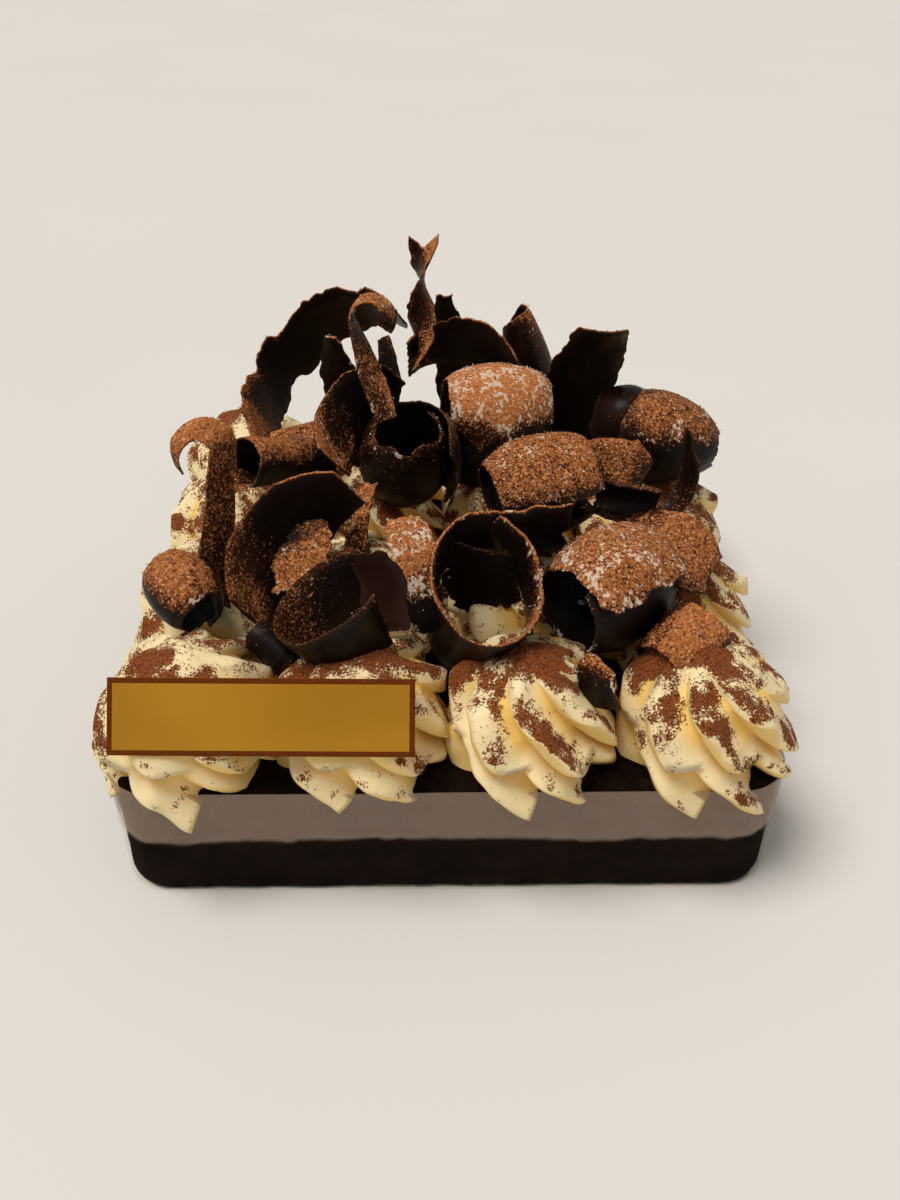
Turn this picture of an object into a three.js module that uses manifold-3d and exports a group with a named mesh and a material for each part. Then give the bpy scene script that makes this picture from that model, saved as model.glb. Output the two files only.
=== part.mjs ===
// A square chocolate cake: a dark sponge block in a clear film band, piped cream rosettes,
// a heap of chocolate curls and a small blank plaque. Millimetres, +Z up, the front is -Y.
// The origin is the middle of the sponge's flat underside.
import * as THREE from "three";
import { mergeVertices } from "three/addons/utils/BufferGeometryUtils.js";
import ManifoldModule from "manifold-3d";

const manifoldLib = await ManifoldModule();
manifoldLib.setup();
const { Manifold, Mesh: ManifoldMesh } = manifoldLib;

// Sponge and film
const SPONGE_SIDE = 150;
const SPONGE_HEIGHT = 32;
const SPONGE_CORNER = 11;
const SPONGE_EDGE_ROUND = 1.8;
const CORNER_FACETS = 2;
const EDGE_FACETS = 2;
const FILM_THICKNESS = 0.4;
const FILM_LIFT = 0.6;

// Clearance between neighbours, and the smallest distance and volume that count
const GAP = 0.3;
const MERGE_DISTANCE = 1e-3;
const TOUCH_VOLUME = 1e-3;

// Cream rosettes
const ROSETTES_A_SIDE = 4;
const ROSETTE_PITCH = 38.2;
const ROSETTE_RADIUS = 22.3;
const ROSETTE_HEIGHT = 26.5;
const INNER_EXTRA = 3;
const ROSETTE_HANG = 4.5;
const ROSETTE_RIDGES = 8;
const ROSETTE_TWIST = -85;
const ROSETTE_SPIN = { row: 51, column: 85 };
const RIDGE_SHARES = [1, 0.05, 0.4];
const CELL_HEIGHT = 100;
const OUTER_CELL_REACH = 60;

// Crest and valley radius of a rosette as shares of its full radius, from foot to peak
const ROSETTE_PROFILE = [
  { up: 0, crest: 0.97, valley: 0.76 },
  { up: 0.22, crest: 1, valley: 0.78 },
  { up: 0.5, crest: 1, valley: 0.77 },
  { up: 0.76, crest: 0.84, valley: 0.66 },
  { up: 0.94, crest: 0.44, valley: 0.34 },
];

// Plaque
const PLAQUE = { width: 64, height: 16.2, thickness: 0.8, at: [-39, -72, 51], lean: 36, turn: -1 };
const POCKET_REACH = 6;

// Curls
const CURL_THICKNESS = 1.2;
const LINE_STEPS = 240;
const SLOPE_STEP = 0.004;
const DEGREES_A_FACET = 34;
const FEWEST_FACETS = 6;
const MOST_FACETS = 14;
const FLAT_FACETS_ACROSS = 2;
const CUPPED_FACETS_ACROSS = 3;
const END_SHARE = 0.3;
const CURL_DEFAULTS = {
  straight: 0, wind: 1, ends: [1, 1], twist: [0, 0], drift: 0, cup: 0, flare: 0, oval: 1,
};

// Each curl is a ribbon. at: middle of its centre line. axis: azimuth and elevation of the
// ribbon's width. heading and turn: the line's first direction and whole bend, in degrees.
// straight: share of the line before the bend. wind: above 1 keeps the bend for the end.
// ends: width at start and end over the middle. twist: turn of the ribbon about its line at
// start and end. cup: hollow across the width. flare: growth along the axis. oval: stretch
// of the line upwards.
const CURLS = {
  curl_left_roll: {
    at: [-59.5, -39, 60], axis: [-49, -22], heading: 40, length: 52, turn: 385, wind: 1.15,
    width: 16, cup: 2.4,
  },
  curl_left_hook: {
    at: [-53.4, -30, 76.2], axis: [-80, 5], heading: 80, length: 64, turn: 221,
    straight: 0.69, wind: 0.75, width: 8.5, ends: [1, 0.6], twist: [-100, -15],
  },
  curl_left_trough: {
    at: [-37.2, -29.7, 66.7], axis: [201, 54], heading: 168, length: 45, turn: -118,
    width: 22, ends: [0.6, 0.55],
  },
  curl_left_foot: {
    at: [-37, -49, 53], axis: [150, 25], heading: 0, length: 24, turn: 400, wind: 1.2,
    width: 12,
  },
  curl_front_cup: {
    at: [-25.3, -50, 57], axis: [186, 60], heading: -130, length: 56, turn: 275,
    width: 17, flare: 0.2,
  },
  curl_front_flap: {
    at: [-14.3, -47.6, 65.9], axis: [-12, 12], heading: 50, length: 19, turn: 50,
    width: 12, ends: [0.9, 0.85],
  },
  curl_front_flake: {
    at: [-33.6, -31.5, 63], axis: [-10, 10], heading: 20, length: 20, turn: 30,
    width: 16, ends: [0.8, 0.8],
  },
  curl_front_leaf: {
    at: [-6.5, -38, 64], axis: [15, 5], heading: 185, length: 30, turn: 85,
    width: 11, ends: [0.9, 0.6],
  },
  curl_front_ring: {
    at: [10.5, -40.5, 62.5], axis: [-84, 62], heading: 180, length: 84, turn: 345,
    straight: 0.26, width: 22, cup: -2, oval: 1.45,
  },
  curl_front_inner: {
    at: [8.5, -33.8, 60.5], axis: [-10, 5], heading: 80, length: 24, turn: 40,
    width: 18, ends: [0.9, 0.8],
  },
  curl_front_barrel: {
    at: [37.5, -40, 61.5], axis: [38, 4], heading: 50, length: 92, turn: -385, wind: 1.15,
    width: 26, cup: 3.5,
  },
  curl_mid_dome: {
    at: [22.5, -12, 72.5], axis: [15, 10], heading: 70, length: 68, turn: -310, wind: 1.1,
    width: 25, cup: 3,
  },
  curl_mid_point: {
    at: [43.2, -5.5, 73.8], axis: [90, 55], heading: 130, length: 20, turn: 100,
    width: 13, ends: [1, 0.1],
  },
  curl_right_ring: {
    at: [44, -17.5, 70.2], axis: [-12, -6], heading: -40, length: 17.5, turn: 225,
    width: 17, ends: [0.8, 0.8],
  },
  curl_right_sheet: {
    at: [51, -29, 65], axis: [60, 15], heading: 50, length: 28, turn: -80,
    width: 22, ends: [0.7, 0.8],
  },
  curl_right_flake: {
    at: [50.5, -53, 57.5], axis: [40, 20], heading: 80, length: 27, turn: -190,
    width: 16, cup: 1,
  },
  curl_front_shard: {
    at: [31, -66, 55], axis: [-40, 20], heading: 100, length: 13, turn: -40,
    width: 11, ends: [0.9, 0.2],
  },
  curl_mid_cup: {
    at: [-7.5, 9, 69], axis: [-80, 66], heading: 60, length: 92, turn: 430, wind: 1.15,
    width: 25, cup: 4,
  },
  curl_mid_shell: {
    at: [14, 25, 73], axis: [8, -4], heading: 140, length: 68, turn: -270,
    width: 28, ends: [0.9, 0.9], cup: 4, oval: 1.25,
  },
  curl_tall_twist: {
    at: [-18, 8, 99], axis: [-90, 15], heading: 108, length: 43, turn: -240,
    straight: 0.58, width: 7, ends: [0.8, 0.8], twist: [-90, 50],
  },
  curl_tall_back: {
    at: [-22.6, 7, 81.2], axis: [201, 50], heading: 168, length: 33, turn: -118,
    width: 17, ends: [0.7, 0.9],
  },
  curl_left_tube: {
    at: [-40.2, 0.2, 71.8], axis: [50, -22], heading: 150, length: 33, turn: -340,
    wind: 1.05, width: 28,
  },
  curl_mid_strip: {
    at: [-20.5, -19, 65], axis: [-30, 20], heading: 100, length: 24, turn: -90,
    width: 8, ends: [0.6, 0.7],
  },
  curl_back_arch: {
    at: [-37.5, 40.5, 79.5], axis: [-140, 50], heading: 170, length: 78, turn: 195,
    width: 20, ends: [0.8, 0.8], oval: 1.1,
  },
  curl_back_dark: {
    at: [-38, 22, 63], axis: [10, 10], heading: 60, length: 42, turn: -330,
    wind: 1.1, width: 15,
  },
  curl_back_point: {
    at: [-26, 24, 78], axis: [-15, 5], heading: 92, length: 40, turn: 20,
    width: 12, ends: [0.9, 0.3],
  },
  curl_back_spire: {
    at: [-6, 35, 100.2], axis: [-60, 0], heading: 88, length: 36, turn: -4,
    width: 8.5, ends: [1, 0.95], twist: [-250, 75], cup: -1.6,
  },
  curl_top_arch: {
    at: [6.2, 36, 86], axis: [-95, 66], heading: 60, length: 38, turn: -115,
    straight: 0.12, wind: 0.55, width: 18.5, ends: [0.7, 0.15],
  },
  curl_back_black: {
    at: [2, 60.5, 74], axis: [0, 5], heading: 88, length: 46, turn: 30,
    width: 10, ends: [0.9, 0.5],
  },
  curl_back_petal: {
    at: [27, 53, 71], axis: [-160, 72], heading: 0, length: 33, turn: 300,
    width: 44, ends: [0.9, 0.7], cup: 2.4,
  },
  curl_right_sail: {
    at: [37.3, 32, 74], axis: [-5, -2], heading: 75, length: 64.5, turn: 72,
    width: 19, ends: [0.8, 0.65], drift: 6, cup: -1,
  },
  curl_right_ball: {
    at: [48, 21, 73], axis: [-30, -10], heading: 150, length: 56, turn: -350, wind: 1.1,
    width: 15, cup: 4,
  },
  curl_right_dome: {
    at: [59.3, 18, 69.8], axis: [-8, -8], heading: 140, length: 68.5, turn: -340,
    wind: 1.05, width: 27, cup: 5, flare: -0.2,
  },
  curl_right_strip: {
    at: [59.2, -1.5, 66.55], axis: [-80, 12], heading: 285, length: 33, turn: -120,
    wind: 2, width: 6.5, ends: [0.6, 0.8], twist: [8, -75],
  },
  curl_tall_side: {
    at: [-16.5, 13, 80], axis: [-110, 10], heading: 290, length: 38, turn: -60,
    width: 7, ends: [0.6, 0.8], twist: [30, 60],
  },
};

const radians = THREE.MathUtils.degToRad;
const { lerp, clamp } = THREE.MathUtils;

// Rounded square outline of a given half side and corner radius
function roundedSquare(half, corner) {
  const shape = new THREE.Shape();
  const straight = half - corner;
  shape.moveTo(straight, -half);
  shape.absarc(straight, -straight, corner, -Math.PI / 2, 0, false);
  shape.absarc(straight, straight, corner, 0, Math.PI / 2, false);
  shape.absarc(-straight, straight, corner, Math.PI / 2, Math.PI, false);
  shape.absarc(-straight, -straight, corner, Math.PI, 1.5 * Math.PI, false);
  shape.closePath();
  return shape;
}

// A rounded square prism standing on the plane z = bottom
function squarePrism(half, corner, bottom, top) {
  const depth = top - bottom;
  const options = { depth, bevelEnabled: false, curveSegments: CORNER_FACETS };
  const geometry = new THREE.ExtrudeGeometry(roundedSquare(half, corner), options);
  return geometry.translate(0, 0, bottom);
}

function spongeGeometry() {
  const half = SPONGE_SIDE / 2 - SPONGE_EDGE_ROUND;
  const geometry = new THREE.ExtrudeGeometry(roundedSquare(half, SPONGE_CORNER - SPONGE_EDGE_ROUND), {
    depth: SPONGE_HEIGHT - 2 * SPONGE_EDGE_ROUND,
    bevelSize: SPONGE_EDGE_ROUND,
    bevelThickness: SPONGE_EDGE_ROUND,
    bevelSegments: EDGE_FACETS,
    curveSegments: CORNER_FACETS,
  });
  return geometry.translate(0, 0, SPONGE_EDGE_ROUND);
}

function filmGeometry() {
  const inner = SPONGE_SIDE / 2 + GAP;
  const shape = roundedSquare(inner + FILM_THICKNESS, SPONGE_CORNER + GAP + FILM_THICKNESS);
  shape.holes.push(roundedSquare(inner, SPONGE_CORNER + GAP));
  const depth = SPONGE_HEIGHT - FILM_LIFT;
  const options = { depth, bevelEnabled: false, curveSegments: CORNER_FACETS };
  const geometry = new THREE.ExtrudeGeometry(shape, options);
  return geometry.translate(0, 0, FILM_LIFT);
}

// The plaque leans back on the front rosettes; its pocket in them is open towards the front
function plaqueGeometry(grow, reach) {
  const { width, height, thickness, at, lean, turn } = PLAQUE;
  const depth = thickness + 2 * grow + reach;
  const geometry = new THREE.BoxGeometry(width + 2 * grow, depth, height + 2 * grow);
  geometry.translate(0, -reach / 2, 0);
  geometry.rotateX(radians(-lean));
  geometry.rotateZ(radians(turn));
  return geometry.translate(...at);
}

// A piped rosette: twisted ridges that rise from a wide foot to a peak
function rosetteSolid(x, y, spin, height) {
  const around = ROSETTE_RIDGES * RIDGE_SHARES.length;
  const foot = SPONGE_HEIGHT - ROSETTE_HANG;
  const rise = SPONGE_HEIGHT + GAP + height - foot;
  const vertices = [];
  for (const { up, crest, valley } of ROSETTE_PROFILE) {
    for (let i = 0; i < around; i += 1) {
      const share = lerp(valley, crest, RIDGE_SHARES[i % RIDGE_SHARES.length]);
      const angle = radians(spin + ROSETTE_TWIST * up) + (2 * Math.PI * i) / around;
      const radius = ROSETTE_RADIUS * share;
      vertices.push([x + radius * Math.cos(angle), y + radius * Math.sin(angle), foot + rise * up]);
    }
  }
  const rings = ROSETTE_PROFILE.length;
  const bottom = vertices.push([x, y, foot]) - 1;
  const peak = vertices.push([x, y, foot + rise]) - 1;
  const triangles = [];
  for (let i = 0; i < around; i += 1) {
    const next = (i + 1) % around;
    triangles.push([bottom, next, i]);
    for (let ring = 0; ring < rings - 1; ring += 1) {
      const low = ring * around;
      const high = low + around;
      triangles.push([low + i, low + next, high + next], [low + i, high + next, high + i]);
    }
    const last = (rings - 1) * around;
    triangles.push([last + i, last + next, peak]);
  }
  return solidFrom(vertices, triangles);
}

// How much of a curl's bend is done at s
function bendShare(curl, s) {
  return clamp((s - curl.straight) / (1 - curl.straight), 0, 1) ** curl.wind;
}

// Places along a curl, close together where it bends
function facetPlaces(curl, count) {
  const places = [];
  const work = (share) => (share + bendShare(curl, share)) / 2;
  let step = 0;
  for (let i = 0; i <= count; i += 1) {
    while (step < LINE_STEPS && work(step / LINE_STEPS) < i / count) {
      step += 1;
    }
    places.push(step / LINE_STEPS);
  }
  return places;
}

// The planar centre line of a curl, centred on its own mean
function centreLine(curl) {
  const points = [];
  const mean = new THREE.Vector2();
  const at = new THREE.Vector2();
  for (let i = 0; i <= LINE_STEPS; i += 1) {
    points.push(at.clone());
    mean.addScaledVector(at, 1 / (LINE_STEPS + 1));
    const s = (i + 0.5) / LINE_STEPS;
    const angle = radians(curl.heading + curl.turn * bendShare(curl, s));
    at.x += (Math.cos(angle) * curl.length) / LINE_STEPS;
    at.y += (Math.sin(angle) * curl.length * curl.oval) / LINE_STEPS;
  }
  return points.map((point) => point.sub(mean));
}

// The middle surface of a curl: s runs along the ribbon from 0 to 1, t across it from -0.5 to 0.5
function curlSurface(curl) {
  const [azimuth, elevation] = curl.axis.map(radians);
  const across = new THREE.Vector3(
    Math.cos(elevation) * Math.cos(azimuth),
    Math.cos(elevation) * Math.sin(azimuth),
    Math.sin(elevation),
  );
  const up = new THREE.Vector3(0, 0, 1).addScaledVector(across, -across.z).normalize();
  const side = new THREE.Vector3().crossVectors(up, across);
  const line = centreLine(curl);
  const middle = new THREE.Vector3(...curl.at);
  return (s, t) => {
    const place = clamp(s, 0, 1) * LINE_STEPS;
    const index = Math.min(Math.floor(place), LINE_STEPS - 1);
    const flat = line[index].clone().lerp(line[index + 1], place - index);
    const along = line[index + 1].clone().sub(line[index]).normalize();
    const tangent = side.clone().multiplyScalar(along.x).addScaledVector(up, along.y);
    const twist = radians(lerp(curl.twist[0], curl.twist[1], s));
    const wide = across.clone().applyAxisAngle(tangent, twist);
    const out = new THREE.Vector3().crossVectors(tangent, wide);
    const startShare = clamp(s / END_SHARE, 0, 1);
    const endShare = clamp((1 - s) / END_SHARE, 0, 1);
    const share = Math.min(lerp(curl.ends[0], 1, startShare), lerp(curl.ends[1], 1, endShare));
    const scale = 1 + 2 * curl.flare * t;
    return middle
      .clone()
      .addScaledVector(side, flat.x * scale)
      .addScaledVector(up, flat.y * scale)
      .addScaledVector(wide, t * curl.width * share)
      .addScaledVector(across, curl.drift * (s - 0.5))
      .addScaledVector(out, -curl.cup * 4 * t * t * Math.sign(curl.turn));
  };
}

// A closed ribbon solid of a given thickness round a curl's middle surface
function curlSolid(settings, thickness, grow) {
  const curl = { ...CURL_DEFAULTS, ...settings };
  const surface = curlSurface(curl);
  const facets = Math.round(Math.abs(curl.turn) / DEGREES_A_FACET);
  const along = clamp(facets, FEWEST_FACETS, MOST_FACETS);
  const across = curl.cup !== 0 ? CUPPED_FACETS_ACROSS : FLAT_FACETS_ACROSS;
  const places = facetPlaces(curl, along);
  const reach = grow / curl.length;
  const vertices = [];
  const at = (face, i, j) => (face * (along + 1) + i) * (across + 1) + j;
  for (const face of [0.5, -0.5]) {
    for (let i = 0; i <= along; i += 1) {
      const s = lerp(-reach, 1 + reach, places[i]);
      for (let j = 0; j <= across; j += 1) {
        const t = (j / across - 0.5) * (1 + (2 * grow) / curl.width);
        const inS = clamp(s, SLOPE_STEP, 1 - SLOPE_STEP);
        const ds = surface(inS + SLOPE_STEP, t).sub(surface(inS - SLOPE_STEP, t));
        const dt = surface(inS, t + SLOPE_STEP).sub(surface(inS, t - SLOPE_STEP));
        const normal = ds.clone().cross(dt).normalize();
        const point = surface(s, t);
        if (s < 0 || s > 1) {
          point.addScaledVector(ds.normalize(), s < 0 ? -grow : grow);
        }
        point.addScaledVector(normal, face * (thickness + 2 * grow));
        vertices.push(point.toArray());
      }
    }
  }
  const triangles = [];
  const quad = (a, b, c, d) => triangles.push([a, b, c], [a, c, d]);
  for (let i = 0; i < along; i += 1) {
    for (let j = 0; j < across; j += 1) {
      quad(at(0, i, j), at(0, i + 1, j), at(0, i + 1, j + 1), at(0, i, j + 1));
      quad(at(1, i, j), at(1, i, j + 1), at(1, i + 1, j + 1), at(1, i + 1, j));
    }
    quad(at(0, i, 0), at(1, i, 0), at(1, i + 1, 0), at(0, i + 1, 0));
    quad(at(0, i, across), at(0, i + 1, across), at(1, i + 1, across), at(1, i, across));
  }
  for (let j = 0; j < across; j += 1) {
    quad(at(0, 0, j), at(0, 0, j + 1), at(1, 0, j + 1), at(1, 0, j));
    quad(at(0, along, j), at(1, along, j), at(1, along, j + 1), at(0, along, j + 1));
  }
  return solidFrom(vertices, triangles);
}

function solidFrom(vertices, triangles) {
  const mesh = new ManifoldMesh({
    numProp: 3,
    vertProperties: new Float32Array(vertices.flat()),
    triVerts: new Uint32Array(triangles.flat()),
  });
  return new Manifold(mesh);
}

function solidFromGeometry(geometry) {
  geometry.deleteAttribute("normal");
  geometry.deleteAttribute("uv");
  const merged = mergeVertices(geometry, MERGE_DISTANCE);
  const mesh = new ManifoldMesh({
    numProp: 3,
    vertProperties: merged.getAttribute("position").array,
    triVerts: new Uint32Array(merged.index.array),
  });
  return new Manifold(mesh);
}

function geometryFromSolid(solid) {
  const mesh = solid.getMesh();
  const geometry = new THREE.BufferGeometry();
  const points = [];
  for (let i = 0; i < mesh.vertProperties.length; i += mesh.numProp) {
    points.push(...mesh.vertProperties.slice(i, i + 3));
  }
  geometry.setAttribute("position", new THREE.Float32BufferAttribute(points, 3));
  geometry.setIndex([...mesh.triVerts]);
  return geometry;
}

// The largest connected piece of a solid
function mainPiece(solid) {
  const pieces = solid.decompose();
  return pieces.reduce((best, piece) => (piece.volume() > best.volume() ? piece : best));
}

const COLOURS = {
  sponge: { color: 0x1c100b, roughness: 0.95 },
  film: { color: 0xd8d8d8, roughness: 0.08, transparent: true, opacity: 0.35 },
  cream: { color: 0xf3e8c4, roughness: 0.55 },
  plaque: { color: 0xb08432, roughness: 0.3, metalness: 0.6 },
  chocolate: { color: 0x2b1610, roughness: 0.45 },
};

const cake = new THREE.Group();
cake.name = "chocolate_cake";

function addNode(name, geometry, look) {
  const mesh = new THREE.Mesh(geometry, new THREE.MeshStandardMaterial({ ...COLOURS[look] }));
  mesh.name = name;
  mesh.material.name = look;
  cake.add(mesh);
}

addNode("sponge", geometryFromSolid(solidFromGeometry(spongeGeometry())), "sponge");
addNode("film_band", geometryFromSolid(solidFromGeometry(filmGeometry())), "film");
addNode("plaque", geometryFromSolid(solidFromGeometry(plaqueGeometry(0, 0))), "plaque");

// Curls: each one gives way to the ones before it
const curlCutters = [];
for (const [name, settings] of Object.entries(CURLS)) {
  let solid = curlSolid(settings, CURL_THICKNESS, 0);
  for (const cutter of curlCutters) {
    if (solid.intersect(cutter).volume() > TOUCH_VOLUME) {
      solid = mainPiece(solid.subtract(cutter));
    }
  }
  curlCutters.push(curlSolid(settings, CURL_THICKNESS, GAP));
  addNode(name, geometryFromSolid(solid), "chocolate");
}

// Rosettes: each keeps to its own square of the grid and gives way to what is pressed into it
const filmSide = SPONGE_SIDE / 2 + GAP + FILM_THICKNESS + GAP;
const filmCorner = SPONGE_CORNER + 2 * GAP + FILM_THICKNESS;
const block = solidFromGeometry(squarePrism(filmSide, filmCorner, 0, SPONGE_HEIGHT + GAP));
const last = ROSETTES_A_SIDE - 1;
const cellReach = (outer) => (outer ? OUTER_CELL_REACH : (ROSETTE_PITCH - GAP) / 2);
const plaquePocket = solidFromGeometry(plaqueGeometry(GAP, POCKET_REACH));
for (let row = 0; row < ROSETTES_A_SIDE; row += 1) {
  for (let column = 0; column < ROSETTES_A_SIDE; column += 1) {
    const x = (column - last / 2) * ROSETTE_PITCH;
    const y = (row - last / 2) * ROSETTE_PITCH;
    const left = cellReach(column === 0);
    const right = cellReach(column === last);
    const front = cellReach(row === 0);
    const back = cellReach(row === last);
    const cell = new THREE.BoxGeometry(left + right, front + back, CELL_HEIGHT);
    cell.translate(x + (right - left) / 2, y + (back - front) / 2, CELL_HEIGHT / 2);
    const inner = row % last !== 0 && column % last !== 0;
    const height = ROSETTE_HEIGHT + (inner ? INNER_EXTRA : 0);
    const spin = ROSETTE_SPIN.row * row + ROSETTE_SPIN.column * column;
    let solid = rosetteSolid(x, y, spin, height);
    solid = solid.intersect(solidFromGeometry(cell)).subtract(block);
    for (const cutter of [...curlCutters, plaquePocket]) {
      if (solid.intersect(cutter).volume() > TOUCH_VOLUME) {
        solid = solid.subtract(cutter);
      }
    }
    addNode(`cream_r${row + 1}c${column + 1}`, geometryFromSolid(mainPiece(solid)), "cream");
  }
}

export default cake;
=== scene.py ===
"""A square chocolate cake: a sponge block in a clear film band, piped cream rosettes, a heap of
chocolate curls dusted with cocoa and sugar, and a blank plaque. Sizes are in millimetres here and
turn into metres when a mesh is made. +Z is up and the front is -Y."""
import itertools
import math

import bpy
import numpy as np
from mathutils import Matrix, Vector
from mathutils.bvhtree import BVHTree


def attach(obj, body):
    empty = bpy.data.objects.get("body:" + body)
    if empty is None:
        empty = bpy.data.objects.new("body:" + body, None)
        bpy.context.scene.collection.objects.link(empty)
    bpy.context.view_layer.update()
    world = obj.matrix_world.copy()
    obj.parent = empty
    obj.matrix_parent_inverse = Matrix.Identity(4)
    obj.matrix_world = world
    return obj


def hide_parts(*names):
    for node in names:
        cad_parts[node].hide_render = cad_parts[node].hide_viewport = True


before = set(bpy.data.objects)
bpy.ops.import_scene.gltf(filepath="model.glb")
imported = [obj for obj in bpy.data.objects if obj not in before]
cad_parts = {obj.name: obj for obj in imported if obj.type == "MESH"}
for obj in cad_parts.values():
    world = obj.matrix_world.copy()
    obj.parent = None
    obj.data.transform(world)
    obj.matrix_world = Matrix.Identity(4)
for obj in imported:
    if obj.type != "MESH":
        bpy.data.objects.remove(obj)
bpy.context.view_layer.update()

MM = 0.001

# Sponge, and the pits in its skin: size, seed, noise level where they start, depth
SPONGE_SIDE = 150
SPONGE_HEIGHT = 32
SPONGE_CORNER = 11
SPONGE_EDGE_ROUND = 1.8
SPONGE_POINTS_AROUND = 460
SPONGE_MIDDLE = 1
SPONGE_RINGS = {"underside": 12, "edge": 5, "side": 24, "top": 40}
SPONGE_PITS = ((1.7, 21, 0.4, 0.5), (4.5, 22, 0.5, 0.7))
SPONGE_FOOT = 0.4

# Film band: its waves in and out, and the rise and fall of its top edge
FILM_GAP = 0.3
FILM_THICKNESS = 0.4
FILM_LIFT = 0.6
FILM_POINTS_AROUND = 360
FILM_LEVELS = 9
FILM_WAVE = {"size": 16, "seed": 31, "depth": 0.55, "stretch": (1, 1, 0.35)}
FILM_RISE = {"size": 22, "seed": 32, "depth": 0.5}

# Cream rosettes: ridges, and a profile that says how far crests and valleys stand out at each height
ROSETTES_A_SIDE = 4
ROSETTE_PITCH = 38.2
ROSETTE_GAP = 0.15
ROSETTE_RADIUS = 22.3
ROSETTE_HEIGHT = 26.5
INNER_EXTRA = 3
ROSETTE_HANG = 4.5
ROSETTE_SINK = 2
ROSETTE_RIDGES = 8
ROSETTE_TWIST = -85
ROSETTE_SPIN = {"row": 51, "column": 85}
ROSETTE_SEEDS = {"first": 100, "row": 10}
POINTS_A_RIDGE = 16
ROSETTE_RINGS = 58
RING_SPACING = 0.92
PROFILE_UP = (0, 0.2, 0.36, 0.5, 0.72, 0.9, 1)
PROFILE_CREST = (0.98, 1.01, 1, 0.98, 0.84, 0.5, 0)
PROFILE_VALLEY = (0.7, 0.72, 0.71, 0.68, 0.56, 0.31, 0)
VALLEY_AT = 0.36
SCOOP_SHARPNESS = 1.8
LOBE_SHARPNESS = 1.15

# The rosettes' upper tier: where it starts, how it swings round, and how the lower one tucks under it
TIER_AT = 0.47
TIER_SWING = (0.07, 0.035)
TIER_LIP = (-0.015, 0.05)
TIER_FLARE = 0.01
TIER_TUCK = 0.13
TIER_TUCK_FROM = 0.5
TIER_SHIFT = -17

# What differs from ridge to ridge, and how far the top leans
VALLEY_DEPTHS = (0.6, 1.25)
CREST_GAINS = (0.92, 1.04)
RIDGE_SHIFTS = (-7, 7)
TIP_RISES = (-1.2, 2.2)
TOP_LEAN = 2.6

# How the cream droops and lies: tips, crests and the tier's lip, lumps (size, seed, depth), underside
VALLEY_LIFT = 0.4
TIP_SHARPNESS = 0.7
CREST_DROOP = 2
LIP_DROOP = 2.2
LIP_REACH = 0.22
LUMPS = ((9, 5, 3.2), (4.2, 6, 1.1))
LUMPS_FADE = 6
HEART_HEIGHT = 8
UNDER_SHARE = 0.14
UNDER_RISE = 4
PRESS_SOFT = 2.2
# How strongly the valleys get painted shade, and the heights over which it fades out near the top
SCOOP_GAIN = 1.5
SCOOP_FADE = (0.7, 1)

# Plaque: a card with a rim, slightly bowed, and the room that it presses into the cream
PLAQUE_SIZE = (64, 0.8, 16.2)
PLAQUE_AT = (-39, -72, 51)
PLAQUE_LEAN = 36
PLAQUE_TURN = -1
PLAQUE_BORDER = 1.15
PLAQUE_RIM = 0.22
PLAQUE_BOW = 0.12
PLAQUE_BACK_BOW = 0.5
PLAQUE_PARTS = (44, 10)
PLAQUE_MARGIN = 0.4
PLAQUE_GAP = 0.3
PLAQUE_PRESS = 9

# Dust falls along these rays onto faces that look up
SKY_TILT = math.radians(34)
SKY_TURNS = [math.radians(a) for a in (15, 105, 195, 285)]
DUST_FACING = (-0.25, 0.8)
RAY_LIFT = {"out": 0.25, "up": 0.15}

# Loose grains
COCOA_GRAINS = dict(count=7000, sizes=(0.2, 0.5), seed=71)
SUGAR_GRAINS = dict(count=600, sizes=(0.25, 0.6), seed=72)
GRAIN_SCATTER = 0.35
GRAIN_LIFT = 0.2
GRAIN_STRETCH = (0.55, 1.25)
GRAIN_BUMPS = 0.16
GRAIN_POINTS = ((1, 0, 0), (-1, 0, 0), (0, 1, 0), (0, -1, 0), (0, 0, 1), (0, 0, -1))
GRAIN_FACES = ((0, 2, 4), (2, 1, 4), (1, 3, 4), (3, 0, 4), (2, 0, 5), (1, 2, 5), (3, 1, 5), (0, 3, 5))
CREAM_SUGAR = 0.04

# Camera: the photographer's place and view
CAMERA_AT = (-3.4, -240.5, 202.1)
CAMERA_PITCH = 35.74
CAMERA_YAW = 1.18
CAMERA_ROLL = -0.47
CAMERA_LENS = 32.4
CAMERA_SENSOR = 36
CAMERA_CLIP = (0.01, 50)

# Floor and light; the floor's reach and the sun's place are in metres
FLOOR_REACH = 6
SKY_COLOUR = (1.0, 0.955, 0.895, 1)
SKY_STRENGTH = 0.38
SUN_PLACE = (-0.34, -0.1, 0.93)
SUN_SPREAD = 30
SUN_POWER = 2.35
SUN_COLOUR = (1, 0.955, 0.89)

# Colours
COCOA_DARK = (0.056, 0.0128, 0.0034)
COCOA_PALE = (0.48, 0.162, 0.045)
COCOA_GRAIN = (0.8, 0.45, 0.25)
CHOCOLATE_DARK = (0.0034, 0.0017, 0.0012)
CHOCOLATE_PALE = (0.0105, 0.0046, 0.0027)
CHOCOLATE_RED = (0.021, 0.0062, 0.0034)
CHOCOLATE_EDGE = (0.06, 0.028, 0.0165)
SUGAR = (0.74, 0.61, 0.48)
SUGAR_GRAIN_DARK = (0.62, 0.52, 0.44)
SUGAR_GRAIN_PALE = (0.86, 0.78, 0.7)
CREAM = (0.93, 0.755, 0.44)
# Painted shade colour for the cream's folds and hidden faces
CREAM_PAINTED_SHADE = (0.91, 0.6, 0.15)
CREAM_COCOA_DARK = (0.078, 0.018, 0.0038)
CREAM_COCOA_PALE = (0.28, 0.076, 0.0155)
SPONGE_DARK = (0.003, 0.0016, 0.001)
SPONGE_PALE = (0.015, 0.007, 0.0038)
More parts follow.
